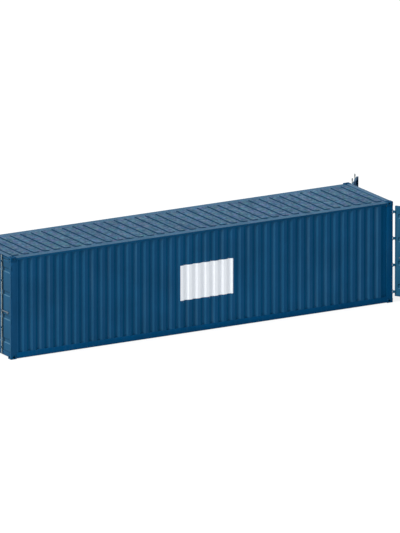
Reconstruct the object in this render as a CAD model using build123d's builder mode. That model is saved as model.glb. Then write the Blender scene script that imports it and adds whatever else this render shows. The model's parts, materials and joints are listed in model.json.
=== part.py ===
from build123d import *
import math
import os

os.makedirs("parts", exist_ok=True)

# Outside size. X runs along the length, Y across, Z up from the feet of the castings.
length = 12192
width = 2438
height = 2896

# How far a cut runs past the face that it opens, and a welded piece into its seat
over = 1

# Corner castings, with the standard slot and its place from the two outer faces
cast_x = 178
cast_y = 162
cast_z = 118
cast_wall = 15
cast_cap = 28
slot_long = 124
slot_wide = 63.5
slot_from_end = 103.5
slot_from_side = 89.5
side_hole = (80, 51)
end_hole = (67, 51)

# Distances inward from the end plane (e) and from the side plane (s)
side_set = 8
leaf_face_e = 45
frame_face_e = 51
frame_deep = 100
rail_lift = 12.5

# Door post section
post_end_e = 2
post_back_e = 190
post_inner_s = 37
post_rear_s = 52
post_wall = 6
stop_gap = 7

# Rails
bottom_rail_z = 180
bottom_rail_thick = 4.5
bottom_rail_deep = 48
top_rail_z0 = 2806
top_rail_z1 = 2866
top_rail_deep = 60
top_rail_wall = 4

# Side wall folds, the first one measured from the left end
fold_outer = 99.5
fold_slope = 63.6
fold_inner = 49
fold_deep = 36
fold_first = 237
fold_count = 43
wall_sheet = 2

# Roof
roof_sheet = 2
rib_pitch = 331
rib_count = 36
rib_base = 246
rib_high = 22
rib_side = 225
rib_taper = 54
rib_corner = 62

# Floor
floor_thick = 28
floor_top = 168
cross_high = 123
cross_flange = 45
cross_thick = 4
cross_pitch = 305
cross_count = 38

# Sill and header
sill_z0 = 30
sill_z1 = 158
sheet = 4.5
header_top = 2890
visor_e = 8
visor_thick = 5

# Hinges: pin place from the end plane and from the side plane
pin_e = 0
pin_s = 5
pin_r = 7
pin_play = 0.6
barrel_r = 11
ear_r = 11
pin_proud = 3
blade_half = 38
blade_near = 2
blade_thick = 8
blade_foot = 12
ear_gap = 2
ear_thick = 12
recess_gap = 5
recess_wall = 6
hinge_z = (305, 1072, 1838, 2600)

# Door leaves, u from the pin along the leaf, v from the pin into the container
leaf_gap_post = 8
leaf_gap_mid = 6
leaf_z0 = 171
leaf_z1 = 2757
leaf_thick = 50
leaf_frame = 56
leaf_skin = 4
panel_sheet = 2.5
swage_z = (460, 1130, 1805, 2475)
swage_high = 142
swage_deep = 32
swage_edge = 28
swage_round = 48
swage_taper = 32
gasket_thick = 8
gasket_wide = 30
gasket_lip = 4

# Locking rods
rod_r = 15
rod_bore = 11.5
rod_out = 21
rod_u = (548, 1045)
rod_z0 = 52
rod_z1 = 2872
cam_r = 19
cam_high = 54
cam_z = (95, 2828)
lug_reach = 34
lug_thick = 18
lug_high = 26
keeper_gap = 8
keeper_thick = 8
keeper_high = 62
keeper_out = 43
keeper_round = 14
bracket_z = (240, 800, 2140, 2690)
bracket_high = 44
bracket_play = 0.9
bracket_wall = 4
foot_thick = 4
foot_wide = 76
foot_high = 56
handle_z = 1290
handle_long = 375
handle_high = 38
handle_thick = 12
clamp_high = 70

# Rest of a handle: a foot on the leaf and a ledge below the handle, near its tip
rest_from_tip = 90
rest_wide = 60
rest_above = 34
rest_below = 30
ledge_wide = 48
ledge_out = 36
ledge_thick = 8
ledge_gap = 6

# How far each door stands open, in degrees
open_angle = {("left", "near"): 0, ("left", "far"): 0, ("right", "near"): 146, ("right", "far"): 141}

end_sign = {"left": -1, "right": 1}
side_sign = {"near": -1, "far": 1}
v0 = leaf_face_e - pin_e
u0 = post_inner_s + leaf_gap_post - pin_s
u1 = width / 2 - leaf_gap_mid - pin_s
rod_v = v0 - rod_out
post_z0 = cast_z
post_z1 = height - cast_z
header_z0 = height - cast_z
stop_e = leaf_face_e + leaf_thick + gasket_thick + stop_gap
recess_e = pin_e + blade_near + blade_thick + recess_gap
cross_top = floor_top - floor_thick


def at(sx, sy, e, s):
    """Place in plan of a point e from an end plane and s from a side plane."""
    return (sx * (length / 2 - e), sy * (width / 2 - s))


def slab(x0, x1, y0, y1, z0, z1, mode=Mode.ADD):
    """A box between two corners, given in any order."""
    with Locations(((x0 + x1) / 2, (y0 + y1) / 2, (z0 + z1) / 2)):
        Box(abs(x1 - x0), abs(y1 - y0), abs(z1 - z0), mode=mode)


def corner_slab(sx, sy, e0, e1, s0, s1, z0, z1, mode=Mode.ADD):
    """A box given by distances from the end plane and the side plane."""
    xa, ya = at(sx, sy, e0, s0)
    xb, yb = at(sx, sy, e1, s1)
    slab(xa, xb, ya, yb, z0, z1, mode)


def save(part, name):
    part.label = name
    export_step(part, "parts/" + name + ".step")


# Corner castings, hollow, with a slot on the flat face and a hole in each outer face
def casting(sx, sy, top):
    z0 = height - cast_z if top else 0
    z1 = z0 + cast_z
    flat = z1 if top else z0
    inner0 = z0 + (cast_wall if top else cast_cap)
    inner1 = z1 - (cast_cap if top else cast_wall)
    with BuildPart() as body:
        corner_slab(sx, sy, 0, cast_x, 0, cast_y, z0, z1)
        corner_slab(sx, sy, cast_wall, cast_x - cast_wall, cast_wall, cast_y - cast_wall,
                    inner0, inner1, Mode.SUBTRACT)
        slot_x, slot_y = at(sx, sy, slot_from_end, slot_from_side)
        with BuildSketch(Plane.XY.offset(flat)):
            with Locations((slot_x, slot_y)):
                SlotOverall(slot_long, slot_wide)
        extrude(amount=cast_cap + over, both=True, mode=Mode.SUBTRACT)
        mid = (z0 + z1) / 2
        with BuildSketch(Plane(origin=(slot_x, sy * width / 2, mid), x_dir=(1, 0, 0), z_dir=(0, sy, 0))):
            SlotOverall(*side_hole)
        extrude(amount=-cast_wall - over, mode=Mode.SUBTRACT)
        with BuildSketch(Plane(origin=(sx * length / 2, slot_y, mid), x_dir=(0, 1, 0), z_dir=(sx, 0, 0))):
            SlotOverall(*end_hole)
        extrude(amount=-cast_wall - over, mode=Mode.SUBTRACT)
    return body.part


# Door post: box section that widens behind the leaf, with a recess, two ears and a pin for each hinge
def post(sx, sy):
    outline = [
        (post_end_e, side_set),
        (post_end_e, post_inner_s),
        (stop_e, post_inner_s),
        (stop_e, post_rear_s),
        (post_back_e, post_rear_s),
        (post_back_e, side_set),
    ]
    pin_x, pin_y = at(sx, sy, pin_e, pin_s)
    with BuildPart() as body:
        with BuildSketch(Plane.XY.offset(post_z0)):
            with BuildLine():
                Polyline([at(sx, sy, e, s) for e, s in outline], close=True)
            make_face()
            offset(amount=-post_wall, kind=Kind.INTERSECTION, mode=Mode.SUBTRACT)
        extrude(amount=post_z1 - post_z0)
        for z in hinge_z:
            low = z - blade_half - ear_gap
            high = z + blade_half + ear_gap
            corner_slab(sx, sy, post_end_e - over, recess_e, side_set - over, post_inner_s + over, low, high,
                        Mode.SUBTRACT)
            corner_slab(sx, sy, recess_e, recess_e + recess_wall, side_set, post_inner_s,
                        low - ear_thick, high + ear_thick)
            for ear_z in (low - ear_thick, high):
                with BuildSketch(Plane.XY.offset(ear_z)):
                    with Locations((pin_x, pin_y)):
                        Circle(ear_r)
                    with BuildLine():
                        Polyline([(pin_x, pin_y),
                                  at(sx, sy, pin_e, pin_s + ear_r),
                                  at(sx, sy, post_end_e, post_inner_s),
                                  at(sx, sy, recess_e, post_inner_s),
                                  at(sx, sy, recess_e, side_set),
                                  at(sx, sy, pin_e + ear_r, side_set)], close=True)
                    make_face()
                extrude(amount=ear_thick)
            with Locations((pin_x, pin_y, z)):
                Cylinder(pin_r, 2 * (blade_half + ear_gap + ear_thick + pin_proud))
    return body.part


# Rails along the length
def bottom_rail(sy):
    with BuildPart() as body:
        x1 = length / 2 - cast_x
        y0 = sy * (width / 2 - side_set)
        y1 = sy * (width / 2 - side_set - bottom_rail_deep)
        t = bottom_rail_thick
        slab(-x1, x1, y0, y1, rail_lift, bottom_rail_z)
        slab(-x1 - over, x1 + over, y0 - sy * t, y1 - sy * over, rail_lift + t, bottom_rail_z - t,
             Mode.SUBTRACT)
        for sx in (-1, 1):
            corner_slab(sx, sy, cast_x - over, post_back_e, 0, side_set + bottom_rail_deep + over, cast_z,
                        bottom_rail_z + over, Mode.SUBTRACT)
    return body.part


def top_rail(sy):
    with BuildPart() as body:
        x1 = length / 2 - cast_x
        y0 = sy * (width / 2 - side_set)
        y1 = sy * (width / 2 - side_set - top_rail_deep)
        t = top_rail_wall
        slab(-x1, x1, y0, y1, top_rail_z0, top_rail_z1)
        slab(-x1 - over, x1 + over, y0 - sy * t, y1 + sy * t, top_rail_z0 + t, top_rail_z1 - t, Mode.SUBTRACT)
    return body.part


# Side wall: one folded sheet between the posts and the rails
def side_wall(sy):
    left = -length / 2 + post_back_e
    right = length / 2 - post_back_e
    outer = sy * (width / 2 - side_set)
    inner = outer - sy * fold_deep
    line = [(left, outer)]
    x = -length / 2 + fold_first
    for i in range(fold_count):
        line.append((x, outer))
        x += fold_slope
        line.append((x, inner))
        if i < fold_count - 1:
            x += fold_inner
            line.append((x, inner))
            x += fold_slope
            line.append((x, outer))
            x += fold_outer
    line.append((right, inner))
    back = [(px, py - sy * wall_sheet) for px, py in reversed(line)]
    with BuildPart() as body:
        with BuildSketch(Plane.XY.offset(bottom_rail_z)):
            with BuildLine():
                Polyline(line + back, close=True)
            make_face()
        extrude(amount=top_rail_z0 - bottom_rail_z)
    return body.part


# Roof: flat sheet with raised pressed ribs and a tongue between the castings at each end
def roof():
    base = top_rail_z1
    half_y = width / 2 - side_set
    tongue = length / 2 - frame_face_e - frame_deep
    wide_x = length / 2 - cast_x
    rib_long = width - 2 * rib_side
    with BuildPart() as body:
        slab(-wide_x, wide_x, -half_y, half_y, base, base + roof_sheet)
        slab(-tongue, tongue, -(width / 2 - cast_y), width / 2 - cast_y, base, base + roof_sheet)
        with BuildSketch(Plane.XY.offset(base)):
            with GridLocations(rib_pitch, 1, rib_count, 1):
                RectangleRounded(rib_base, rib_long, rib_corner)
        extrude(amount=roof_sheet + rib_high, taper=rib_taper)
        with BuildSketch(Plane.XY.offset(base)):
            with GridLocations(rib_pitch, 1, rib_count, 1):
                RectangleRounded(rib_base - 2 * roof_sheet, rib_long - 2 * roof_sheet,
                                 rib_corner - roof_sheet)
        extrude(amount=rib_high, taper=rib_taper, mode=Mode.SUBTRACT)
    return body.part


# Cross members under the floor
def cross_members():
    z0 = cross_top - cross_high
    y1 = width / 2 - side_set - bottom_rail_thick
    with BuildPart() as body:
        with GridLocations(cross_pitch, 1, cross_count, 1):
            Box(cross_flange, 2 * y1, cross_high, align=(Align.CENTER, Align.CENTER, Align.MIN))
        with Locations((0, 0, cross_thick)):
            with GridLocations(cross_pitch, 1, cross_count, 1):
                with Locations((cross_thick, 0, 0)):
                    Box(cross_flange, 2 * (y1 + over), cross_high - 2 * cross_thick,
                        align=(Align.CENTER, Align.CENTER, Align.MIN), mode=Mode.SUBTRACT)
    return Pos(0, 0, z0) * body.part


def floor():
    with BuildPart() as body:
        x1 = length / 2 - frame_face_e - frame_deep
        y1 = width / 2 - side_set - bottom_rail_deep
        slab(-x1, x1, -y1, y1, cross_top, floor_top)
    return body.part


# Pairs of cheeks that the rod ends turn between, round at their outer corners
def keepers(sx, cam_level):
    face = length / 2 - frame_face_e
    for sy in (-1, 1):
        for u in rod_u:
            y = sy * (width / 2 - pin_s - u)
            for side in (-1, 1):
                inner = y + side * (lug_reach + keeper_gap)
                low = min(inner, inner + side * keeper_thick)
                middle = sx * (face + keeper_out / 2 - keeper_round / 2)
                cheek = Plane(origin=(middle, low, cam_level), x_dir=(1, 0, 0), z_dir=(0, 1, 0))
                with BuildSketch(cheek) as side_view:
                    RectangleRounded(keeper_out + keeper_round, keeper_high, keeper_round)
                extrude(side_view.sketch, amount=keeper_thick)


def sill(sx):
    x0 = length / 2 - frame_face_e
    x1 = x0 - frame_deep
    y_low = width / 2 - cast_y
    y_high = width / 2 - post_inner_s
    y_top = width / 2 - post_rear_s
    t = sheet
    with BuildPart() as body:
        keepers(sx, cam_z[0])
        slab(sx * (x0 - t), sx * x1, -y_low, y_low, 0, sill_z1, Mode.SUBTRACT)
        slab(sx * x0, sx * (x0 - t), -y_low, y_low, sill_z0, sill_z1)
        slab(sx * x0, sx * (x0 - t), -y_high, y_high, cast_z, sill_z1)
        slab(sx * x0, sx * x1, -y_top, y_top, sill_z1 - t, sill_z1)
        slab(sx * x0, sx * x1, -y_low, y_low, sill_z0, sill_z0 + t)
    return body.part


def header(sx):
    x0 = length / 2 - frame_face_e
    x1 = x0 - frame_deep
    y1 = width / 2 - cast_y
    t = sheet
    visor = sx * (length / 2 - visor_e)
    with BuildPart() as body:
        keepers(sx, cam_z[1])
        slab(sx * (x0 - t), sx * x1, -y1, y1, header_z0, header_top, Mode.SUBTRACT)
        slab(sx * x0, sx * x1, -y1, y1, header_z0, header_top)
        slab(sx * (x0 - t), sx * (x1 + t), -y1 - over, y1 + over, header_z0 + t, header_top - t,
             Mode.SUBTRACT)
        slab(visor, sx * x0, -y1, y1, header_top - visor_thick, header_top)
    return body.part


# Leaf frame of reference: x along the leaf from the pin, y times hand into the container
def leaf_plane(end, side):
    sx = end_sign[end]
    sy = side_sign[side]
    hand = -sx * sy
    angle = -sy * 90 - hand * open_angle[(end, side)]
    px, py = at(sx, sy, pin_e, pin_s)
    along = (math.cos(math.radians(angle)), math.sin(math.radians(angle)), 0)
    return Plane(origin=(px, py, 0), x_dir=along, z_dir=(0, 0, 1)), hand


def leaf(end, side):
    plane, hand = leaf_plane(end, side)
    front = v0
    back = v0 + leaf_thick
    sheet_v = front + leaf_skin
    skin = leaf_skin
    frame = leaf_frame
    mid_u = (u0 + u1) / 2
    swage_long = u1 - u0 - 2 * (frame + swage_edge)
    with BuildPart() as body:
        slab(u0, u1, hand * front, hand * back, leaf_z0, leaf_z1)
        slab(u0 + skin, u1 - skin, hand * sheet_v, hand * (back - skin), leaf_z0 + skin, leaf_z1 - skin,
             Mode.SUBTRACT)
        slab(u0 + frame, u1 - frame, hand * (front - over), hand * (back + over), leaf_z0 + frame,
             leaf_z1 - frame, Mode.SUBTRACT)
        slab(u0 + over, u1 - over, hand * sheet_v, hand * (sheet_v + panel_sheet), leaf_z0 + over,
             leaf_z1 - over)
        # Swages pressed inward, first the outer form, then the hollow side of the sheet
        for z in swage_z:
            with BuildSketch(Plane(origin=(mid_u, hand * sheet_v, z), x_dir=(1, 0, 0), z_dir=(0, hand, 0))):
                RectangleRounded(swage_long, swage_high, swage_round)
            extrude(amount=swage_deep + panel_sheet, taper=swage_taper)
        for z in swage_z:
            with BuildSketch(Plane(origin=(mid_u, hand * sheet_v, z), x_dir=(1, 0, 0), z_dir=(0, hand, 0))):
                RectangleRounded(swage_long - 2 * panel_sheet, swage_high - 2 * panel_sheet,
                                 swage_round - panel_sheet)
            extrude(amount=swage_deep, taper=swage_taper, mode=Mode.SUBTRACT)
        # Hinge blades: a leg past the post and a barrel on the pin
        near = hand * blade_near
        far = hand * (blade_near + blade_thick)
        root = hand * (front + skin / 2)
        for z in hinge_z:
            with BuildSketch(Plane.XY.offset(z - blade_half)):
                Circle(barrel_r)
                with BuildLine():
                    Polyline([(0, near), (u0 + blade_foot, near), (u0 + blade_foot, root),
                              (u0 + over, root), (u0 + over, far), (0, far)], close=True)
                make_face()
            extrude(amount=2 * blade_half)
            with Locations((0, 0, z)):
                Cylinder(pin_r + pin_play, 2 * (blade_half + over), mode=Mode.SUBTRACT)
        # Rod brackets, each a foot on the leaf and a ring round the rod
        ring = rod_r + bracket_play + bracket_wall
        foot_v = hand * (front - foot_thick)
        for u in rod_u:
            for z in bracket_z:
                slab(u - foot_wide / 2, u + foot_wide / 2, hand * (sheet_v + over), foot_v,
                     z - foot_high / 2, z + foot_high / 2)
                slab(u - ring, u + ring, hand * front, hand * rod_v,
                     z - bracket_high / 2, z + bracket_high / 2)
                with Locations((u, hand * rod_v, z)):
                    Cylinder(ring, bracket_high)
                    Cylinder(rod_r + bracket_play, foot_high, mode=Mode.SUBTRACT)
            # Rest of the handle
            rest_u = u - handle_long + rest_from_tip
            ledge_z = handle_z - handle_high / 2 - ledge_gap
            slab(rest_u - rest_wide / 2, rest_u + rest_wide / 2, hand * (sheet_v + over), foot_v,
                 ledge_z - rest_below, handle_z + rest_above)
            slab(rest_u - ledge_wide / 2, rest_u + ledge_wide / 2, hand * front, hand * (front - ledge_out),
                 ledge_z - ledge_thick, ledge_z)
    return plane.location * body.part


def gasket(end, side):
    plane, hand = leaf_plane(end, side)
    back = v0 + leaf_thick
    lip = gasket_lip
    wide = gasket_wide - lip
    with BuildPart() as body:
        slab(u0 - lip, u1, hand * back, hand * (back + gasket_thick), leaf_z0 - lip, leaf_z1 + lip)
        slab(u0 + wide, u1 - gasket_wide, hand * (back - over), hand * (back + gasket_thick + over),
             leaf_z0 + wide, leaf_z1 - wide, Mode.SUBTRACT)
    return plane.location * body.part


# Locking rod: a tube with a cam at each end, and its handle on a clamp
def rod(end, side, u):
    plane, hand = leaf_plane(end, side)
    axis = hand * rod_v
    mid_z = (rod_z0 + rod_z1) / 2
    with BuildPart() as body:
        with Locations((u, axis, mid_z)):
            Cylinder(rod_r, rod_z1 - rod_z0)
        for z in cam_z:
            with Locations((u, axis, z)):
                Cylinder(cam_r, cam_high)
            slab(u - lug_reach, u, axis - lug_thick / 2, axis + lug_thick / 2,
                 z - lug_high / 2, z + lug_high / 2)
        with Locations((u, axis, handle_z)):
            Cylinder(cam_r, clamp_high)
        slab(u - handle_long, u, axis - handle_thick / 2, axis + handle_thick / 2,
             handle_z - handle_high / 2, handle_z + handle_high / 2)
        with Locations((u, axis, mid_z)):
            Cylinder(rod_bore, rod_z1 - rod_z0 + 2 * over, mode=Mode.SUBTRACT)
    return plane.location * body.part


for end, sx in end_sign.items():
    for side, sy in side_sign.items():
        save(casting(sx, sy, False), "casting_bottom_" + end + "_" + side)
        save(casting(sx, sy, True), "casting_top_" + end + "_" + side)
        save(post(sx, sy), "post_" + end + "_" + side)
        save(leaf(end, side), "leaf_" + end + "_" + side)
        save(gasket(end, side), "gasket_" + end + "_" + side)
        save(rod(end, side, rod_u[0]), "rod_" + end + "_" + side + "_outer")
        save(rod(end, side, rod_u[1]), "rod_" + end + "_" + side + "_inner")
    save(sill(sx), "sill_" + end)
    save(header(sx), "header_" + end)
for side, sy in side_sign.items():
    save(bottom_rail(sy), "bottom_rail_" + side)
    save(top_rail(sy), "top_rail_" + side)
    save(side_wall(sy), "side_wall_" + side)
save(roof(), "roof")
save(cross_members(), "cross_members")
save(floor(), "floor")
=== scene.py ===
"""Looks of the freight container: paint, galvanising, plywood, rubber, seams and fasteners."""
import bpy
import bmesh
import json
import math
from mathutils import Matrix, Vector


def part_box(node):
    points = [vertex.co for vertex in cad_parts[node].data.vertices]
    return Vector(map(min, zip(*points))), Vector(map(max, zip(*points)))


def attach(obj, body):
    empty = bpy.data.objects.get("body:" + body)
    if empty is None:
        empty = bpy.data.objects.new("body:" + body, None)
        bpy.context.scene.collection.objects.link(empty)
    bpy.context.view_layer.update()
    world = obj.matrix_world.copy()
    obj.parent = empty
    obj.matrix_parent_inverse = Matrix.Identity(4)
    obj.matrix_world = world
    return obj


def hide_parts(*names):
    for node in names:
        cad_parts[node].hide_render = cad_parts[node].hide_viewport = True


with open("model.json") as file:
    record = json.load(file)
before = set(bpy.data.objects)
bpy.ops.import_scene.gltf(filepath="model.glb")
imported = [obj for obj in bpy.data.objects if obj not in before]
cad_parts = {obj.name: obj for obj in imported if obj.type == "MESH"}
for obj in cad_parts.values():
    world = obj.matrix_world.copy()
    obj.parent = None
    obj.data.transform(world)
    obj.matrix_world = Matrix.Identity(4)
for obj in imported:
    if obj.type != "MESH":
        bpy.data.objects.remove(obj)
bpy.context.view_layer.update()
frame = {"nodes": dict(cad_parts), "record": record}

# Signs of the ends along X and of the sides along Y
ends = {"left": -1, "right": 1}
sides = {"near": -1, "far": 1}

# Outside size of the closed container, from its castings
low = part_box("casting_bottom_left_near")[0]
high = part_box("casting_top_right_far")[1]
length = high.x - low.x
width = high.y - low.y

# Camera: the photograph shows next to no perspective, so a long lens stands far back, yet not so
# far that the other views lose the object behind their clipping range
frame_wide_px = 400
frame_tall_px = 533
scale_px = 36.122
view_azimuth = math.radians(-30.0924)
view_elevation = math.radians(14.9209)
lens = 1200.0
sensor = 36.0
origin_px = (180.453, 320.447)

# Light and surroundings
sun_strength = 4.4
sun_angle = math.radians(24.0)
sun_azimuth = math.radians(-84.0)
sun_elevation = math.radians(46.0)
sky_colour = (0.86, 0.93, 1.0, 1)
sky_strength = 0.60
white = (1, 1, 1, 1)
floor_size = 90
floor_z = -0.002
floor_grey = (0.7, 0.7, 0.7, 1)
floor_rough = 0.9
floor_glow = 1.05
floor_glow_share = 0.8

# Steel nodes whose sharp edges are rounded in a copy
softened_kinds = ("casting_", "post_", "sill_", "header_", "top_rail_", "bottom_rail_", "leaf_")
soft_edge = 0.003
edge_steps = 2
merge_within = 1e-5
flat_angle = math.radians(1.0)
sharp_angle = math.radians(40.0)

# Folded side sheets, as distances from the left end plane and inward from the side plane
side_set = 0.008
fold_first = 0.237
fold_outer = 0.0995
fold_slope = 0.0636
fold_inner = 0.049
fold_deep = 0.036
fold_count = 43
fold_bend = 0.017
bend_steps = 4
bend_share = 0.45
straight_turn = 1e-4
wall_sheet = 0.002

# Pressed roof ribs; the mesh lines stand closer where a rib rises
rib_pitch = 0.331
rib_count = 36
rib_half = 0.123
rib_high = 0.022
rib_side = 0.225
rib_flank = 0.034
rib_corner = 0.075
roof_sheet = 0.002
rib_lines_x = (0.0, 0.025, 0.05, 0.07, 0.086, 0.092, 0.1, 0.108, 0.116, rib_half)
rib_lines_y = (0.0, 0.006, 0.013, 0.02, 0.028, 0.036, 0.05, 0.07, 0.09, 0.12)
rib_middle_lines = (-0.5, 0.0, 0.5)

# Paint colours, linear
blue = (0.0064, 0.0592, 0.1414)
rail_blue = (0.0032, 0.0518, 0.1239)
# Darker blue of the bottom rails and the right posts: painted shade
shade_blue = (0.0003, 0.0490, 0.1302)
cast_blue = (0.0021, 0.0462, 0.1155)
door_blue = (0.0063, 0.0651, 0.1316)
chalk = (0.0140, 0.0560, 0.1106)
dust_blue = (0.0511, 0.1029, 0.1624)
roof_dust = (0.0574, 0.1106, 0.1715)
margin_dust = (0.0420, 0.1015, 0.1680)
groove_blue = (0.0030, 0.0255, 0.0550)
# Dust colour of the door leaves; on their up-facing ledges it also works as a painted highlight
ledge_dust_and_highlight = (0.0770, 0.1400, 0.2030)
# Dark strip beside the locking rods: painted shadow
rod_shadow_blue = (0.0014, 0.0126, 0.0252)
# Darker blue on the inner side of the leaves: painted shade
inner_side_shade_blue = (0.0055, 0.0470, 0.1150)
warm_dust = (0.088, 0.084, 0.130)
field_white = (0.84, 0.85, 0.87)
field_grey = (0.74, 0.77, 0.80)

# How weather, painted highlight and painted shade scale the red, green and blue of the paint
# Painted highlight: lighter paint on faces turned to the sun
painted_highlight_tint = (1.7, 1.30, 1.14)
# Painted shade: faces turned away from the sun lose their red
painted_shade_tint = (0.03, 1.02, 1.0)
# Painted shade on the last flat of a side sheet by the right post
last_flat_shade_tint = (0.12, 0.88, 0.95)
# Painted shade in the first groove of a side sheet by the left post
first_groove_shade_tint = (0.1, 0.75, 0.85)
thin_dust = (0.40, 0.57, 0.65)
thick_dust = (1.55, 1.40, 1.33)
hue_spread = (1.7, 0.9, 0.65)
paint_gloss = 0.015
roof_gloss = 0.05
rubber_gloss = 0.08

# How far a surface has to face along X, up or down for each weathering, painted highlight or painted shade,
# and how strong that is
streak_facing = (-0.45, 0.4)
# Faces turned to the sun at -X take the painted highlight
painted_highlight_facing = (-0.45, -0.10)
# Faces turned away from the sun take the painted shade
painted_shade_facing = (0.10, 0.45)
end_facing = (0.55, 0.95)
top_facing = (0.4, 0.97)
# Down-facing surfaces take painted shade
underside_shade_facing = (0.3, 0.85)
# Rib flanks facing -X and -Y take the darker groove blue
rib_dark_flank_facing = (0.05, 0.42)
patch_tones = (0.93, 1.07)
streak_strength = 0.14
# Strength and darkness of the painted shade underneath
underside_shade_strength = 0.7
underside_shade_tone = 0.3
warm_strength = 0.3
cloud_strength = 0.25
margin_strength = 0.75
margin_soft = 0.03

# Where painted shade darkens the side sheets: from this far to this far from the end planes
last_flat_shade_span = (0.38, 0.33)
first_groove_shade_span = (0.29, 0.33)

# Zinc, rubber and wood colours, linear
zinc_dark = (0.11, 0.145, 0.155)
zinc_light = (0.225, 0.26, 0.25)
handle_grime = (0.035, 0.063, 0.098)
rubber_dark = (0.0025, 0.011, 0.034)
rubber_light = (0.005, 0.021, 0.058)
wood_dark = (0.085, 0.040, 0.021)
wood_light = (0.185, 0.096, 0.052)
wood_stain = (0.067, 0.037, 0.022)

# Plain white rectangle on the near side
field_x = (5.38 - length / 2, 7.06 - length / 2)
field_z = (0.95, 1.95)
field_edge = 0.002

# Door leaves, u from the pin along the leaf, v from the pin into the container
leaf_gap_post = 0.008
leaf_gap_middle = 0.006
post_inner_s = 0.037
pin_s = 0.005
leaf_face_v = 0.045
leaf_thick = 0.050
leaf_u = (post_inner_s + leaf_gap_post - pin_s, width / 2 - leaf_gap_middle - pin_s)
leaf_z = (0.171, 2.757)
# Painted shadow beside the rods: its shift along u, soft half widths and strength
rod_shadow_shift = 0.022
rod_shadow_half = (0.030, 0.070)
rod_shadow_strength = 0.7
# Strength of the painted shade on the inner side of a leaf
inner_side_shade_strength = 0.9

# Seal round the back of a leaf; its section in mm as (inward from its rim, out from the leaf)
gasket_lip = 0.004
seal_lips_mm = ((0, 0), (0, 5.2), (1.4, 7.4), (3.6, 8), (6, 7), (7.6, 4.4), (10, 3), (15, 2.6),
                (19, 3.2), (21.5, 5.4), (24, 7.4), (26.4, 7.2), (28.6, 5), (30, 2), (30, 0))

# Locking rods and their collars: half length, foot radius, rim radius, chamfer
rod_v = 0.024
rod_u = {"outer": 0.548, "inner": 1.045}
rod_z = (0.052, 2.872)
rod_r = 0.015
rod_bore = 0.0115
rod_soft = 0.0015
rod_segments = 28
cam_z = (0.095, 2.828)
cam_r = 0.019
ring_collar = (0.0045, 0.0175, 0.0185, 0.0012)
cam_collar = (0.027, 0.0165, cam_r, 0.003)
clamp_collar = (0.035, 0.0172, cam_r, 0.003)
ring_gap = 0.003
collar_bite = 0.001

# The cam's nose, as (back from the rod's axis along u, v from the axis)
cam_nose = ((0.010, -0.0088), (0.024, -0.0086), (0.031, -0.0070), (0.034, -0.0035), (0.034, 0.0030),
            (0.031, 0.0072), (0.026, 0.0086), (0.021, 0.0062), (0.010, 0.0085))
nose_half = 0.013
nose_soft = 0.002

# Rod brackets and handle; stations are (back along u, half height, half thickness)
bracket_z = (0.240, 0.800, 2.140, 2.690)
bracket_half = 0.022
handle_z = 1.290
handle_long = 0.375
handle_stations = ((0.034, 0.012, 0.005), (0.046, 0.0145, 0.0055), (0.075, 0.0135, 0.0055),
                   (0.110, 0.0165, 0.006), (0.170, 0.0185, 0.006),
                   (handle_long - 0.060, 0.019, 0.006), (handle_long - 0.018, 0.0185, 0.006),
                   (handle_long - 0.006, 0.0160, 0.0052), (handle_long, 0.0110, 0.0035))
handle_round = (0.55, 0.4)
handle_segments = 16
clamp_ear = ((0.012, -0.0085), (0.058, -0.0085), (0.064, -0.004), (0.064, 0.004), (0.058, 0.0085),
             (0.012, 0.0085))
clamp_ear_z = (0.0155, 0.0215)
clamp_ear_soft = 0.0012
rivet_back = 0.050
rivet = ((-0.026, 0.0035), (-0.0255, 0.0055), (-0.0225, 0.0055), (-0.0225, 0.0042),
         (0.0225, 0.0042), (0.0225, 0.0055), (0.0255, 0.0055), (0.026, 0.0035))
rivet_segments = 16

# Bolt heads and their washers, as shares of the width across flats, and heights
washer_foot = 0.66
washer_top = 0.6
washer_z = (0.0018, 0.0024)
washer_segments = 20
head_z = 0.002
head_straight = 0.8
head_top = 0.86

# Bolts, as (width across flats, height of the head), and where they stand
bracket_bolt = (0.014, 0.0055)
bracket_bolt_u = (-0.029, 0.029)
rest_bolt = (0.012, 0.005)
rest_from_tip = 0.09
rest_bolt_u = (-0.019, 0.019)
rest_bolt_z = (-0.045, 0.026)
foot_thick = 0.004

# Hinge pins; the cap's section as (height above the hinge's end, radius)
hinge_z = (0.305, 1.072, 1.838, 2.600)
hinge_half = 0.055
pin_cap = ((-0.004, 0.0095), (-0.0025, 0.0103), (0.0005, 0.0085), (0.0026, 0.007), (0.0042, 0.0045),
           (0.0046, 0.001))
cap_segments = 20

# Weld seams: radius and ripple length, and where they run from the end plane and up
bead_sides = 6
bead_waist = 0.78
seam = (0.0026, 0.011)
post_seam = (0.002, 0.014)
sheet_seam = (0.0022, 0.03)
post_back = 0.190
casting_long = 0.178
post_end = 0.002
post_seam_z = (0.180, 2.778)
casting_seam_z = ((0.0125, 0.118), (2.806, 2.866))

# Floor boards beside a steel strip, screwed to the cross members
board_count = 10
board_gap = 0.001
board_soft = 0.002
strip_half = 0.030
strip_play = 0.001
cross_count = 38
cross_pitch = 0.305
screw_y = (-1.12, -0.86, -0.6, -0.34, -0.07, 0.07, 0.34, 0.6, 0.86, 1.12)
screw = ((-0.003, 0.006), (0.0004, 0.006), (0.0008, 0.0045))
screw_segments = 10


def direction(azimuth, elevation):
    """Unit vector towards an azimuth, counted from straight in front of the near side."""
    flat = math.cos(elevation)
    return Vector((math.sin(azimuth) * flat, -math.cos(azimuth) * flat, math.sin(elevation)))


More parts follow.
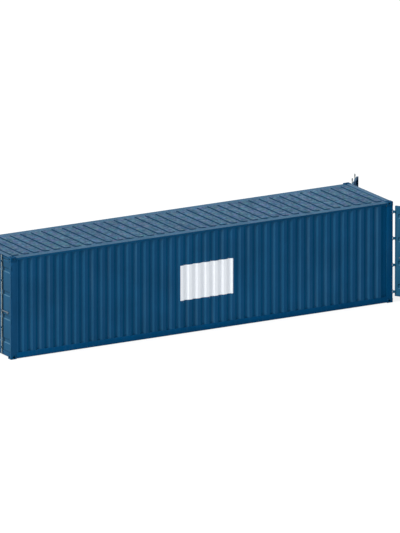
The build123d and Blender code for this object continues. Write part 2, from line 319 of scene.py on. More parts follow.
def make_camera():
    """The photograph's frame, aimed so that the row's origin lands on its pixel."""
    back = direction(view_azimuth, view_elevation)
    right = Vector((math.cos(view_azimuth), math.sin(view_azimuth), 0))
    up = back.cross(right)
    aim = right * (((frame_wide_px - 1) / 2 - origin_px[0]) / scale_px)
    aim += up * ((origin_px[1] - (frame_tall_px - 1) / 2) / scale_px)
    distance = frame_tall_px / scale_px * lens / sensor
    data = bpy.data.cameras.new("camera")
    data.lens = lens
    data.sensor_width = sensor
    data.clip_start = 1.0
    data.clip_end = 2 * distance
    camera = bpy.data.objects.new("camera", data)
    camera.location = aim + back * distance
    camera.rotation_mode = "QUATERNION"
    camera.rotation_quaternion = (-back).to_track_quat("-Z", "Y")
    bpy.context.scene.collection.objects.link(camera)
    bpy.context.scene.camera = camera


class Nodes:
    """A small helper that builds one node material."""

    def __init__(self, name):
        self.material = bpy.data.materials.new(name)
        self.material.use_nodes = True
        self.tree = self.material.node_tree
        self.shader = self.tree.nodes["Principled BSDF"]
        self.output = self.tree.nodes["Material Output"]
        held = self.tree.nodes.new("ShaderNodeTexCoord")
        self.place = held.outputs["Object"]
        self.turned = held.outputs["Normal"]

    def link(self, source, target):
        """Joins two sockets."""
        self.tree.links.new(source, target)

    def value(self, socket, amount):
        """Feeds a socket from another one or from a plain number."""
        if isinstance(amount, bpy.types.NodeSocket):
            self.link(amount, socket)
        else:
            socket.default_value = amount

    def math(self, operation, first, second=0.0):
        """One arithmetic step."""
        node = self.tree.nodes.new("ShaderNodeMath")
        node.operation = operation
        self.value(node.inputs[0], first)
        self.value(node.inputs[1], second)
        return node.outputs[0]

    def times(self, first, second):
        """The product of two amounts."""
        return self.math("MULTIPLY", first, second)

    def noise(self, scale, detail=4.0, rough=0.55, along=(1, 1, 1)):
        """Noise in the row's frame, stretched along its axes."""
        stretched = self.tree.nodes.new("ShaderNodeMapping")
        stretched.inputs["Scale"].default_value = along
        self.link(self.place, stretched.inputs["Vector"])
        node = self.tree.nodes.new("ShaderNodeTexNoise")
        node.inputs["Scale"].default_value = scale
        node.inputs["Detail"].default_value = detail
        node.inputs["Roughness"].default_value = rough
        self.link(stretched.outputs["Vector"], node.inputs["Vector"])
        return node.outputs["Fac"]

    def band(self, amount, start, stop, out_low=0.0, out_high=1.0):
        """A soft step from one level to another between two amounts."""
        node = self.tree.nodes.new("ShaderNodeMapRange")
        node.interpolation_type = "SMOOTHSTEP"
        self.link(amount, node.inputs["Value"])
        node.inputs["From Min"].default_value = start
        node.inputs["From Max"].default_value = stop
        node.inputs["To Min"].default_value = out_low
        node.inputs["To Max"].default_value = out_high
        return node.outputs["Result"]

    def mix(self, amount, first, second, blend="MIX"):
        """A blend of two colours; sockets 6, 7 and 2 of the node are its colour ones."""
        node = self.tree.nodes.new("ShaderNodeMix")
        node.data_type = "RGBA"
        node.blend_type = blend
        self.value(node.inputs["Factor"], amount)
        for socket, colour in ((node.inputs[6], first), (node.inputs[7], second)):
            self.value(socket, colour if isinstance(colour, bpy.types.NodeSocket) else (*colour, 1.0))
        return node.outputs[2]

    def scaled(self, colour, amount, factors):
        """The colour with its channels scaled where the amount is one."""
        return self.mix(1.0, colour, self.mix(amount, (1.0, 1.0, 1.0), factors), "MULTIPLY")

    def tinted(self, colour, scale, spread):
        """The colour with slow patches of uneven hue, each channel for itself."""
        cells = self.tree.nodes.new("ShaderNodeTexNoise")
        cells.inputs["Scale"].default_value = scale
        cells.inputs["Detail"].default_value = 2.0
        self.link(self.place, cells.inputs["Vector"])
        node = self.tree.nodes.new("ShaderNodeVectorMath")
        node.operation = "MULTIPLY_ADD"
        self.link(cells.outputs["Color"], node.inputs[0])
        node.inputs[1].default_value = spread
        node.inputs[2].default_value = tuple(1 - s / 2 for s in spread)
        return self.mix(1.0, colour, node.outputs["Vector"], "MULTIPLY")

    def split(self, socket):
        """The three parts of a vector."""
        node = self.tree.nodes.new("ShaderNodeSeparateXYZ")
        self.link(socket, node.inputs[0])
        return node.outputs

    def dot(self, socket, toward):
        """How far a vector reaches in a direction."""
        node = self.tree.nodes.new("ShaderNodeVectorMath")
        node.operation = "DOT_PRODUCT"
        self.link(socket, node.inputs[0])
        node.inputs[1].default_value = tuple(toward)
        return node.outputs["Value"]

    def facing(self):
        """The parts of the surface's normal."""
        return self.split(self.tree.nodes.new("ShaderNodeNewGeometry").outputs["Normal"])

    def colour(self, socket):
        """Sets the surface's colour."""
        self.link(socket, self.shader.inputs["Base Color"])

    def rough(self, socket):
        """Sets the surface's roughness."""
        self.link(socket, self.shader.inputs["Roughness"])

    def gloss(self, amount):
        """Sets how strongly the surface mirrors."""
        self.shader.inputs["Specular IOR Level"].default_value = amount

    def bump(self, height_socket, distance, strength):
        """Sets the fine relief of the surface."""
        node = self.tree.nodes.new("ShaderNodeBump")
        node.inputs["Strength"].default_value = strength
        node.inputs["Distance"].default_value = distance
        self.link(height_socket, node.inputs["Height"])
        self.link(node.outputs["Normal"], self.shader.inputs["Normal"])


def shaded(colour, *factors):
    """A plain colour scaled by one factor, or each channel by its own."""
    if len(factors) == 1:
        factors = factors * 3
    return tuple(c * f for c, f in zip(colour, factors))


def leaf_marks(m, base, leaf):
    """Painted shadow beside the rods on the outer side of a leaf, and painted shade on its inner side."""
    at = leaf_matrix(*leaf)
    along = at.col[0].to_3d()
    inward = at.col[1].to_3d()
    inner = m.band(m.dot(m.turned, inward), 0.0, 0.3)
    outer = m.math("SUBTRACT", 1.0, inner)
    u = m.math("SUBTRACT", m.dot(m.place, along), at.translation.dot(along))
    # A painted shadow strip on one side of each rod, on the outer side only
    for rod in rod_u.values():
        off = m.math("ABSOLUTE", m.math("SUBTRACT", u, rod - rod_shadow_shift))
        rod_shadow = m.band(off, *rod_shadow_half, rod_shadow_strength, 0.0)
        base = m.mix(m.times(rod_shadow, outer), base, rod_shadow_blue)
    # Painted shade on the inner side
    return m.mix(m.times(inner, inner_side_shade_strength), base, inner_side_shade_blue)


def sheet_marks(m, base, painted_shade_side):
    """Painted shade on a side sheet's last flat by the right post and in its first groove."""
    x = m.split(m.place)[0]
    # Painted shade on the last flat by the right post
    last_flat_shade = m.band(x, *(length / 2 - s for s in last_flat_shade_span))
    base = m.scaled(base, last_flat_shade, last_flat_shade_tint)
    # Painted shade in the first groove, on faces turned away from the sun
    first_groove_shade = m.band(x, *(s - length / 2 for s in first_groove_shade_span), 1.0, 0.0)
    return m.scaled(base, m.times(first_groove_shade, painted_shade_side), first_groove_shade_tint)


def white_field(m, base, streaks):
    """A plain white rectangle with faint streaks."""
    x, _, z = m.split(m.place)
    steps = []
    for axis, (first, last) in ((x, field_x), (z, field_z)):
        steps.append(m.band(axis, first - field_edge, first + field_edge))
        steps.append(m.band(axis, last - field_edge, last + field_edge, 1.0, 0.0))
    inside = steps[0]
    for step in steps[1:]:
        inside = m.times(inside, step)
    return m.mix(inside, base, m.mix(m.band(streaks, 0.5, 0.8, 0.0, 0.5), field_white, field_grey))


def paint(name, colour, dust, dusty=0.3, rough=(0.42, 0.6), chalked=0.85, sheet=False, field=False,
          leaf=None):
    """Container paint: faint patches, rain streaks, chalked ends, dust on top, a painted highlight on faces
    turned to the sun and painted shade on faces turned away and underneath.
    """
    m = Nodes(name)
    face_x, _, face_z = m.facing()
    patches = m.noise(0.8, 6.0, 0.6)
    streaks = m.noise(9.0, 5.0, 0.6, (1, 1, 0.05))
    base = m.mix(m.band(patches, 0.35, 0.65), *(shaded(colour, tone) for tone in patch_tones))
    weather = m.band(face_x, *streak_facing, 1.5, 0.0)
    base = m.mix(m.times(m.band(streaks, 0.42, 0.8, 0.0, streak_strength), weather), base, dust)
    # Painted highlight on faces turned to the sun
    base = m.scaled(base, m.band(face_x, *painted_highlight_facing, 1.0, 0.0), painted_highlight_tint)
    # Painted shade on faces turned away from the sun
    painted_shade_side = m.band(face_x, *painted_shade_facing)
    base = m.scaled(base, painted_shade_side, painted_shade_tint)
    base = m.mix(m.band(m.math("ABSOLUTE", face_x), *end_facing, 0.0, chalked), base, chalk)
    # Dust on up-facing surfaces; on the doors, with their lighter colour, it is also a painted highlight on
    # the ledges
    upward = m.band(face_z, *top_facing, 0.0, dusty)
    speckle = m.band(m.noise(30.0, 6.0, 0.7), 0.3, 0.7, 0.5, 1.0)
    base = m.mix(m.times(upward, speckle), base, dust)
    # Painted shade on down-facing surfaces
    underside_shade = m.band(m.times(face_z, -1.0), *underside_shade_facing, 0.0, underside_shade_strength)
    base = m.mix(underside_shade, base, shaded(colour, underside_shade_tone))
    if leaf:
        base = leaf_marks(m, base, leaf)
    if sheet:
        base = sheet_marks(m, base, painted_shade_side)
    if field:
        base = white_field(m, base, streaks)
    m.colour(base)
    m.rough(m.band(patches, 0.3, 0.7, *rough))
    m.bump(m.noise(260.0, 3.0, 0.6), 0.0004, 0.4)
    m.gloss(paint_gloss)
    return m.material


def roof_paint():
    """Chalked, dusty paint on the flat parts, and a darker blue on the flanks of the ribs that face -X and
    -Y.
    """
    m = Nodes("roof_paint")
    face_x, face_y, _ = m.facing()
    # The rib flanks that face -X and -Y take the darker groove blue
    rib_dark_flanks = m.band(m.math("ADD", m.times(face_x, -1.0), m.times(face_y, -0.8)), *rib_dark_flank_facing)
    clouds = m.noise(1.6, 5.0, 0.6, (1.0, 0.5, 1.0))
    grains = m.noise(12.0, 3.0, 0.8, (1.0, 0.6, 1.0))
    pale = m.mix(m.band(grains, 0.36, 0.64), shaded(dust_blue, *thin_dust), shaded(dust_blue, *thick_dust))
    pale = m.mix(m.band(m.noise(11.0, 3.0, 0.8), 0.54, 0.66, 0.0, warm_strength), pale, warm_dust)
    pale = m.tinted(pale, 7.0, hue_spread)
    rib_end = width / 2 - rib_side
    margin = m.band(m.math("ABSOLUTE", m.split(m.place)[1]), rib_end - margin_soft, rib_end + margin_soft)
    pale = m.mix(m.times(margin, margin_strength), pale, margin_dust)
    pale = m.mix(m.band(clouds, 0.35, 0.7, 0.0, cloud_strength), pale, groove_blue)
    m.colour(m.mix(rib_dark_flanks, pale, groove_blue))
    m.rough(m.band(grains, 0.3, 0.7, 0.6, 0.8))
    m.bump(grains, 0.0008, 0.4)
    m.gloss(roof_gloss)
    return m.material


def galvanised():
    """Dull zinc with spangle, darker where hands hold the rods."""
    m = Nodes("galvanised_steel")
    cells = m.tree.nodes.new("ShaderNodeTexVoronoi")
    cells.inputs["Scale"].default_value = 55.0
    m.link(m.place, cells.inputs["Vector"])
    spangle = m.math("ADD", cells.outputs["Distance"], m.noise(14.0, 4.0))
    base = m.mix(m.band(spangle, 0.5, 1.3), zinc_dark, zinc_light)
    off = m.math("ABSOLUTE", m.math("SUBTRACT", m.split(m.place)[2], handle_z))
    m.colour(m.mix(m.band(off, 0.030, 0.036, 0.75, 0.0), base, handle_grime))
    m.rough(m.band(spangle, 0.5, 1.3, 0.38, 0.6))
    m.shader.inputs["Metallic"].default_value = 0.35
    m.bump(spangle, 0.0003, 0.4)
    return m.material


def rubber():
    """Matt, slightly uneven rubber."""
    m = Nodes("gasket_rubber")
    m.colour(m.mix(m.noise(30.0), rubber_dark, rubber_light))
    m.gloss(rubber_gloss)
    m.rough(m.band(m.noise(12.0), 0.3, 0.7, 0.6, 0.85))
    m.bump(m.noise(180.0), 0.0004, 0.5)
    return m.material


def plywood():
    """Worn plywood with grain along the boards and some stained places."""
    m = Nodes("floor_plywood")
    grain = m.noise(22.0, 7.0, 0.65, (0.25, 3.0, 1.0))
    base = m.mix(m.band(grain, 0.3, 0.7), wood_dark, wood_light)
    base = m.mix(m.band(m.noise(0.55, 1.0), 0.4, 0.6, 0.0, 0.35), base, wood_stain)
    m.colour(base)
    m.rough(m.band(grain, 0.3, 0.7, 0.5, 0.75))
    m.bump(grain, 0.0008, 0.6)
    return m.material


def finish_nodes():
    """Every carried-over node gets its material, and steel nodes are shown with softened edges."""
    made = {
        "body_paint": paint("body_paint", blue, dust_blue, sheet=True),
        "near_side_paint": paint("near_side_paint", blue, dust_blue, sheet=True, field=True),
        "roof_paint": roof_paint(),
        "casting_paint": paint("casting_paint", cast_blue, dust_blue, 0.15, rough=(0.5, 0.75)),
        "galvanised": galvanised(),
        "gasket": rubber(),
        "plywood": plywood(),
    }
    # The bottom rails and right posts take a darker blue: painted shade
    shade = paint("shade_paint", shade_blue, dust_blue, 0.2, chalked=0.1)
    own = {
        "top_rail": paint("rail_paint", rail_blue, margin_dust),
        "bottom_rail": shade,
        "post_right": shade,
        "header": paint("header_paint", rail_blue, roof_dust, 1.4),
    }
    for end in ends:
        for side in sides:
            own["leaf_" + end + "_" + side] = paint("door_paint_" + end + "_" + side, door_blue, ledge_dust_and_highlight,
                                                    0.95, leaf=(end, side))
    slots = {s["node"]: s["material_slot"] for s in frame["record"]["subparts"]}
    for name, node in frame["nodes"].items():
        special = [own[start] for start in own if name.startswith(start)]
        material = special[0] if special else made[slots[name]]
        node.data.materials.clear()
        node.data.materials.append(material)
        if name.startswith(softened_kinds):
            body = name.replace("leaf_", "door_") if name.startswith("leaf_") else "frame"
            softened(name, body, material)
    return made


def add_piece(name, builder, body, material, replaces=None, sharp=35.0):
    """Turns a bmesh into a piece that rides on a body."""
    mesh = bpy.data.meshes.new(name)
    bmesh.ops.recalc_face_normals(builder, faces=builder.faces)
    for face in builder.faces:
        face.smooth = True
    for edge in builder.edges:
        if len(edge.link_faces) == 2 and edge.calc_face_angle(0.0) > math.radians(sharp):
            edge.smooth = False
    builder.to_mesh(mesh)
    builder.free()
    piece = bpy.data.objects.new(name, mesh)
    bpy.context.scene.collection.objects.link(piece)
    piece.data.materials.append(material)
    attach(piece, body)
    if replaces:
        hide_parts(*replaces)


def rounded(line, radius):
    """A run of plan points with each inner corner turned into an arc."""
    out = [line[0]]
    for before, corner, after in zip(line, line[1:], line[2:]):
        into = (corner - before).normalized()
        away = (after - corner).normalized()
        turn = into.angle(away)
        if turn < straight_turn:
            continue
        room = bend_share * min((corner - before).length, (after - corner).length)
        cut = min(radius * math.tan(turn / 2), room)
        first = corner - into * cut
        last = corner + away * cut
        for i in range(bend_steps + 1):
            t = i / bend_steps
            out.append(first * (1 - t) ** 2 + corner * 2 * t * (1 - t) + last * t ** 2)
    out.append(line[-1])
    return out


def side_wall(side, material):
    """One folded sheet with rounded bends, as thick as the real one."""
    box_low, box_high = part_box("side_wall_" + side)
    sign = sides[side]
    outer = box_low.y if side == "near" else box_high.y
    inner = outer - sign * fold_deep
    line = [Vector((box_low.x, outer))]
    x = low.x + fold_first
    for i in range(fold_count):
        line.append(Vector((x, outer)))
        x += fold_slope
        line.append(Vector((x, inner)))
        if i < fold_count - 1:
            x += fold_inner
            line.append(Vector((x, inner)))
            x += fold_slope
            line.append(Vector((x, outer)))
            x += fold_outer
    line.append(Vector((box_high.x, inner)))
    shown = rounded(line, fold_bend)
    b = bmesh.new()
    rows = []
    for inset in (0.0, wall_sheet):
        for z in (box_low.z, box_high.z):
            rows.append([b.verts.new((p.x, p.y - sign * inset, z)) for p in shown])
    for i in range(len(shown) - 1):
        b.faces.new((rows[0][i], rows[0][i + 1], rows[1][i + 1], rows[1][i]))
        b.faces.new((rows[2][i], rows[3][i], rows[3][i + 1], rows[2][i + 1]))
        b.faces.new((rows[0][i], rows[2][i], rows[2][i + 1], rows[0][i + 1]))
        b.faces.new((rows[1][i], rows[1][i + 1], rows[3][i + 1], rows[3][i]))
    for i in (0, -1):
        b.faces.new((rows[0][i], rows[1][i], rows[3][i], rows[2][i]))
    sheet_welds(side, shown, material)
    add_piece("side_sheet_" + side, b, "frame", material, ["side_wall_" + side])


def rib_height(x, y, half_y):
    """How far the pressed rib stands up at a place given from its middle."""
    dx = abs(x) - (rib_half - rib_corner)
    dy = abs(y) - (half_y - rib_corner)
    inside = rib_corner - max(dx, dy)
    if max(dx, dy) > 0:
        inside = rib_corner - math.hypot(max(dx, 0.0), max(dy, 0.0))
    rise = max(0.0, min(1.0, inside / rib_flank))
    return rib_high * rise * rise * (3 - 2 * rise)


def rib_place(k):
    """Where the middle of a rib lies along X."""
    return (k - (rib_count - 1) / 2) * rib_pitch


def roof_skin(material):
    """Roof sheet with pressed ribs and the tongues between the castings at its ends."""
    box_low, box_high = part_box("roof")
    top = box_low.z + roof_sheet
    half_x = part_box("top_rail_near")[1].x
    rib_y = width / 2 - rib_side
    around = [-x for x in reversed(rib_lines_x)] + list(rib_lines_x[1:])
    xs = [-half_x] + [rib_place(k) + x for k in range(rib_count) for x in around] + [half_x]
    ys = [-box_high.y] + [y - rib_y for y in rib_lines_y]
    ys += list(rib_middle_lines)
    ys += [rib_y - y for y in reversed(rib_lines_y)] + [box_high.y]
    b = bmesh.new()
    for level in (top, top - roof_sheet):
        grid = []
        for x in xs:
            from_rib = x - rib_place(round(x / rib_pitch + (rib_count - 1) / 2))
            grid.append([b.verts.new((x, y, level + rib_height(from_rib, y, rib_y))) for y in ys])
        for one, two in zip(grid, grid[1:]):
            for j in range(len(ys) - 1):
                b.faces.new((one[j], two[j], two[j + 1], one[j + 1]))
    tongue_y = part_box("header_left")[1].y
    for sx in ends.values():
        plate(b, sorted((sx * half_x, sx * box_high.x)), (-tongue_y, tongue_y), (top - roof_sheet, top))
    add_piece("roof_skin", b, "frame", material, ["roof"], sharp=50.0)


def break_edges(b, edges, by):
    """Rounds edges."""
    bmesh.ops.bevel(b, geom=edges, offset=by, segments=edge_steps, profile=0.5, affect="EDGES")


def plate(b, xs, ys, zs, bevel=0.0):
    """A flat plate between its limits, with broken edges if asked."""
    made = bmesh.ops.create_cube(b, size=1.0)["verts"]
    for v in made:
        v.co = [limits[0] if at < 0 else limits[1] for at, limits in zip(v.co, (xs, ys, zs))]
    if bevel:
        break_edges(b, list({e for v in made for e in v.link_edges}), bevel)


def softened(node, body, material):
    """A copy of a steel node with its sharp edges rounded, in place of the node."""
    b = bmesh.new()
    b.from_mesh(frame["nodes"][node].data)
    bmesh.ops.remove_doubles(b, verts=b.verts, dist=merge_within)
    bmesh.ops.dissolve_limit(b, angle_limit=flat_angle, verts=b.verts, edges=b.edges, delimit={"NORMAL"})
    sharp = [e for e in b.edges if len(e.link_faces) == 2 and e.calc_face_angle(0.0) > sharp_angle]
    bmesh.ops.bevel(b, geom=sharp, offset=soft_edge, segments=edge_steps, profile=0.5, affect="EDGES",
                    clamp_overlap=True)
    add_piece(node + "_soft", b, body, material, [node])


def skin(b, rings, closed=False):
    """Faces from ring to ring; the first and last are capped, or joined if the run is closed."""
    pairs = list(zip(rings, rings[1:]))
    if closed:
        pairs.append((rings[-1], rings[0]))
    for one, two in pairs:
        for i in range(len(one)):
            j = (i + 1) % len(one)
            b.faces.new((one[i], one[j], two[j], two[i]))
    if not closed:
        b.faces.new(rings[0])
        b.faces.new(rings[-1])


def lathe(b, middle, axis, profile, segments, closed=False):
    """A round body about an axis from (height, radius) points."""
    axis = Vector(axis).normalized()
    side = axis.orthogonal().normalized()
    other = axis.cross(side)
    turns = [2 * math.pi * i / segments for i in range(segments)]
    rings = []
    for height_at, radius in profile:
        centre = Vector(middle) + axis * height_at
        rings.append([b.verts.new(centre + side * (radius * math.cos(a)) + other * (radius * math.sin(a)))
                      for a in turns])
    skin(b, rings, closed)


def prism(b, outline, low_z, high_z, bevel):
    """A plate with the given plan outline and rounded rim edges."""
    bottom = [b.verts.new((x, y, low_z)) for x, y in outline]
    top = [b.verts.new((x, y, high_z)) for x, y in outline]
    faces = [b.faces.new(bottom), b.faces.new(top)]
    for i in range(len(outline)):
        j = (i + 1) % len(outline)
        b.faces.new((bottom[i], bottom[j], top[j], top[i]))
    break_edges(b, list({e for f in faces for e in f.edges}), bevel)


def hex_bolt(b, middle, out, across, head):
    """A washer and a hexagon head with a chamfered top, standing on a surface."""
    washer = across * washer_foot
    corner = across / math.sqrt(3)
    lathe(b, middle, out, [(0.0, washer), (washer_z[0], washer), (washer_z[1], across * washer_top)],
          washer_segments)
    lathe(b, middle, out, [(head_z, corner), (head_z + head * head_straight, corner),
                           (head_z + head, corner * head_top)], 6)


def bead(b, path, radius, ripple):
    """A welded seam along a path: a row of small overlapping ripples."""
    points = []
    for first, last in zip(path, path[1:]):
        count = max(1, round((last - first).length / ripple))
        points += [first.lerp(last, i / count) for i in range(count)]
    points.append(path[-1])
    turns = [2 * math.pi * k / bead_sides for k in range(bead_sides)]
    rings = []
    for i, point in enumerate(points):
        along = (points[min(i + 1, len(points) - 1)] - points[max(i - 1, 0)]).normalized()
        side = along.orthogonal() if abs(along.z) > 0.9 else along.cross(Vector((0, 0, 1)))
        side.normalize()
        other = along.cross(side)
        size = radius * (1.0 if i % 2 else bead_waist)
        rings.append([b.verts.new(point + side * (size * math.cos(a)) + other * (size * math.sin(a)))
                      for a in turns])
    skin(b, rings)


def leaf_matrix(end, side):
    """From (u, v, z) on a leaf to its place at rest, read from the leaf's own joint."""
    joints = {j["name"]: j for j in frame["record"]["behaviour"]["joints"]}
    joint = joints["door_" + end + "_" + side + "_swing"]
    hand = -joint["axis"][2]
    angle = math.radians(-sides[side] * 90 + hand * joint["range_deg"][0])
    ux, uy = math.cos(angle), math.sin(angle)
    x, y = joint["pos_m"][:2]
    return Matrix(((ux, -uy * hand, 0, x), (uy, ux * hand, 0, y), (0, 0, 1, 0), (0, 0, 0, 1)))


def round_rod(b, u, profile):
    """A hollow round body about a rod's axis."""
    lathe(b, (u, rod_v, 0), (0, 0, 1), profile, rod_segments, closed=True)


def collar(b, u, z, half, foot, rim, chamfer):
    """A chamfered collar round a rod, its bore a little inside the tube."""
    bore = rod_r - collar_bite
    round_rod(b, u, [(z - half, bore), (z - half, foot), (z - half + chamfer, rim),
                     (z + half - chamfer, rim), (z + half, foot), (z + half, bore)])


def handle(b, u):
    """A flat bar with rounded sides and a narrower tip, seen along u."""
    turns = [2 * math.pi * (k + 0.5) / handle_segments for k in range(handle_segments)]
    rings = []
    for back, half_z, half_v in handle_stations:
        ring = []
        for a in turns:
            c, d = math.cos(a), math.sin(a)
            v = rod_v + half_v * math.copysign(abs(c) ** handle_round[0], c)
            z = handle_z + half_z * math.copysign(abs(d) ** handle_round[1], d)
            ring.append(b.verts.new((u - back, v, z)))
        rings.append(ring)
    skin(b, rings)


def lock_rod(end, side, which, material):
    """Tube with cams, stop rings, a clamp and a rounded handle, in place of the plain rod."""
    b = bmesh.new()
    u = rod_u[which]
    low_z, high_z = rod_z
    round_rod(b, u, [(low_z, rod_bore), (low_z, rod_r - rod_soft), (low_z + rod_soft, rod_r),
                     (high_z - rod_soft, rod_r), (high_z, rod_r - rod_soft), (high_z, rod_bore)])
    for z in bracket_z:
        for way in (-1, 1):
            collar(b, u, z + way * (bracket_half + ring_gap + ring_collar[0]), *ring_collar)
    for z in cam_z:
        collar(b, u, z, *cam_collar)
        nose = [(u - back, rod_v + v) for back, v in cam_nose]
        prism(b, nose, z - nose_half, z + nose_half, nose_soft)
    collar(b, u, handle_z, *clamp_collar)
    ear = [(u - back, rod_v + v) for back, v in clamp_ear]
    for way in (-1, 1):
        prism(b, ear, *sorted(handle_z + way * z for z in clamp_ear_z), clamp_ear_soft)
    lathe(b, (u - rivet_back, rod_v, handle_z), (0, 0, 1), rivet, rivet_segments)
    handle(b, u)
    b.transform(leaf_matrix(end, side))
    name = "_".join(("rod", end, side, which))
    add_piece("lock_" + name, b, name + "_bar", material, [name])


def door_seal(end, side, material):
    """Rubber seal with two lips round the back of a leaf, mitred at its corners."""
    back = leaf_face_v + leaf_thick
    u_low, u_high = leaf_u[0] - gasket_lip, leaf_u[1]
    z_low, z_high = leaf_z[0] - gasket_lip, leaf_z[1] + gasket_lip
    b = bmesh.new()
    corners = [(u_low, z_low, 1, 1), (u_high, z_low, -1, 1), (u_high, z_high, -1, -1), (u_low, z_high, 1, -1)]
    rings = [[b.verts.new((u + way_u * d / 1000, back + h / 1000, z + way_z * d / 1000))
              for d, h in seal_lips_mm] for u, z, way_u, way_z in corners]
    skin(b, rings, closed=True)
    b.transform(leaf_matrix(end, side))
    add_piece("seal_" + end + "_" + side, b, "door_" + end + "_" + side, material,
              ["gasket_" + end + "_" + side])


def door_fixings(end, side, steel):
    """Bolts of the rod brackets and handle rests."""
    b = bmesh.new()
    foot = leaf_face_v - foot_thick
    for u in rod_u.values():
        for z in bracket_z:
            for du in bracket_bolt_u:
                hex_bolt(b, (u + du, foot, z), (0, -1, 0), *bracket_bolt)
        rest = u - handle_long + rest_from_tip
        for dz in rest_bolt_z:
            for du in rest_bolt_u:
                hex_bolt(b, (rest + du, foot, handle_z + dz), (0, -1, 0), *rest_bolt)
    b.transform(leaf_matrix(end, side))
    add_piece("bolts_" + end + "_" + side, b, "door_" + end + "_" + side, steel, sharp=25.0)


def pin_caps(material):
    """Rounded heads on both ends of each hinge pin."""
    b = bmesh.new()
    cap = [(hinge_half + up, radius) for up, radius in pin_cap]
    for end in ends:
        for side in sides:
            x, y = leaf_matrix(end, side).translation[:2]
            for z in hinge_z:
                for way in (-1, 1):
                    lathe(b, (x, y, z), (0, 0, way), cap, cap_segments)
    add_piece("hinge_pin_caps", b, "frame", material)


def frame_welds(material):
    """Seams between posts, rails and castings."""
    b = bmesh.new()
    for end, sx in ends.items():
        for side, sy in sides.items():
            post_low, post_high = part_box("post_" + end + "_" + side)
            y_out = sy * (width / 2 - side_set)
            y_in = sy * (width / 2 - post_inner_s)
            x_back = sx * (length / 2 - post_back)
            x_rail = sx * (length / 2 - casting_long)
            x_end = sx * (length / 2 - post_end)
            for z in (post_low.z, post_high.z):
                path = ((x_rail, y_out, z), (x_end, y_out, z), (x_end, y_in, z))
                bead(b, [Vector(point) for point in path], *seam)
            bead(b, [Vector((x_back, y_out, z)) for z in post_seam_z], *post_seam)
            for levels in casting_seam_z:
                bead(b, [Vector((x_rail, y_out, z)) for z in levels], *seam)
    add_piece("corner_welds", b, "frame", material, sharp=70.0)


def sheet_welds(side, line, material):
    """Seams at the top and foot of one folded sheet, following its folds."""
    b = bmesh.new()
    box_low, box_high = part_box("side_wall_" + side)
    for z in (box_low.z, box_high.z):
        bead(b, [Vector((p.x, p.y, z)) for p in line], *sheet_seam)
    add_piece("sheet_welds_" + side, b, "frame", material, sharp=70.0)


def floor_boards(wood, steel):
    """Plywood boards on both sides of a steel strip, screwed to every cross member."""
    box_low, box_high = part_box("floor")
    board = (box_high.x - box_low.x) / board_count
    boards = bmesh.new()
    for i in range(board_count):
        x = box_low.x + i * board
        for ys in ((box_low.y, -strip_half), (strip_half, box_high.y)):
            plate(boards, (x + board_gap, x + board - board_gap), ys, (box_low.z, box_high.z), board_soft)
    add_piece("floor_boards", boards, "frame", wood, ["floor"])
    metal = bmesh.new()
    strip_y, strip_top = strip_half - strip_play, box_high.z - strip_play
    plate(metal, (box_low.x, box_high.x), (-strip_y, strip_y), (box_low.z, strip_top), strip_play)
    for i in range(cross_count):
        x = (i - (cross_count - 1) / 2) * cross_pitch
        for y in screw_y:
            lathe(metal, (x, y, box_high.z), (0, 0, 1), screw, screw_segments)
    add_piece("floor_strip_and_screws", metal, "frame", steel, sharp=25.0)


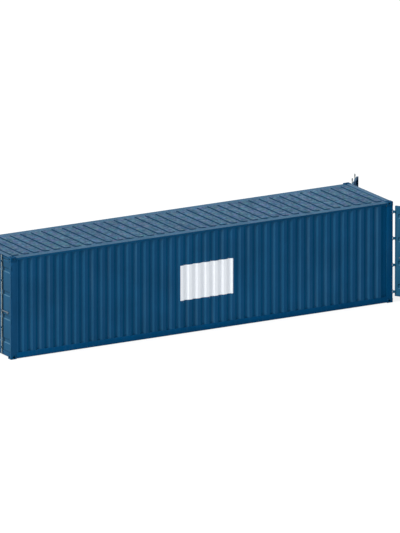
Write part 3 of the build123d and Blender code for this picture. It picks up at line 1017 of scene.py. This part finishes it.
def make_floor():
    """White floor that keeps a faint shadow."""
    bpy.ops.mesh.primitive_plane_add(size=floor_size, location=(0, 0, floor_z))
    floor = bpy.context.object
    floor.name = "studio_floor"
    m = Nodes("studio_floor")
    m.shader.inputs["Base Color"].default_value = floor_grey
    m.shader.inputs["Roughness"].default_value = floor_rough
    ray = m.tree.nodes.new("ShaderNodeLightPath").outputs
    glow = m.tree.nodes.new("ShaderNodeEmission")
    glow.inputs["Color"].default_value = white
    glow.inputs["Strength"].default_value = floor_glow
    blend = m.tree.nodes.new("ShaderNodeMixShader")
    seen = m.math("MAXIMUM", ray["Is Camera Ray"], ray["Is Glossy Ray"])
    m.link(m.times(seen, floor_glow_share), blend.inputs[0])
    m.link(m.shader.outputs[0], blend.inputs[1])
    m.link(glow.outputs[0], blend.inputs[2])
    m.link(blend.outputs[0], m.output.inputs["Surface"])
    floor.data.materials.append(m.material)


def make_world():
    """Soft bluish light from all sides, seen as white by the camera and in reflections."""
    world = bpy.data.worlds.new("studio")
    bpy.context.scene.world = world
    world.use_nodes = True
    nodes, links = world.node_tree.nodes, world.node_tree.links
    sky = nodes["Background"]
    sky.inputs["Color"].default_value = sky_colour
    sky.inputs["Strength"].default_value = sky_strength
    backdrop = nodes.new("ShaderNodeBackground")
    backdrop.inputs["Color"].default_value = white
    backdrop.inputs["Strength"].default_value = 1.0
    ray = nodes.new("ShaderNodeLightPath").outputs
    seen = nodes.new("ShaderNodeMath")
    seen.operation = "MAXIMUM"
    blend = nodes.new("ShaderNodeMixShader")
    links.new(ray["Is Camera Ray"], seen.inputs[0])
    links.new(ray["Is Glossy Ray"], seen.inputs[1])
    links.new(seen.outputs[0], blend.inputs[0])
    links.new(sky.outputs[0], blend.inputs[1])
    links.new(backdrop.outputs[0], blend.inputs[2])
    links.new(blend.outputs[0], nodes["World Output"].inputs["Surface"])


def make_sun():
    """One broad, soft key lamp."""
    data = bpy.data.lights.new("key", "SUN")
    data.energy = sun_strength
    data.angle = sun_angle
    lamp = bpy.data.objects.new("key", data)
    lamp.rotation_mode = "QUATERNION"
    lamp.rotation_quaternion = direction(sun_azimuth, sun_elevation).to_track_quat("Z", "Y")
    bpy.context.scene.collection.objects.link(lamp)


make_camera()
bpy.context.scene.view_settings.view_transform = "Standard"
materials = finish_nodes()
side_wall("near", materials["near_side_paint"])
side_wall("far", materials["body_paint"])
roof_skin(materials["roof_paint"])
for end in ends:
    for side in sides:
        for which in rod_u:
            lock_rod(end, side, which, materials["galvanised"])
        door_seal(end, side, materials["gasket"])
        door_fixings(end, side, materials["galvanised"])
pin_caps(materials["body_paint"])
frame_welds(materials["body_paint"])
floor_boards(materials["plywood"], materials["galvanised"])
make_floor()
make_world()
make_sun()
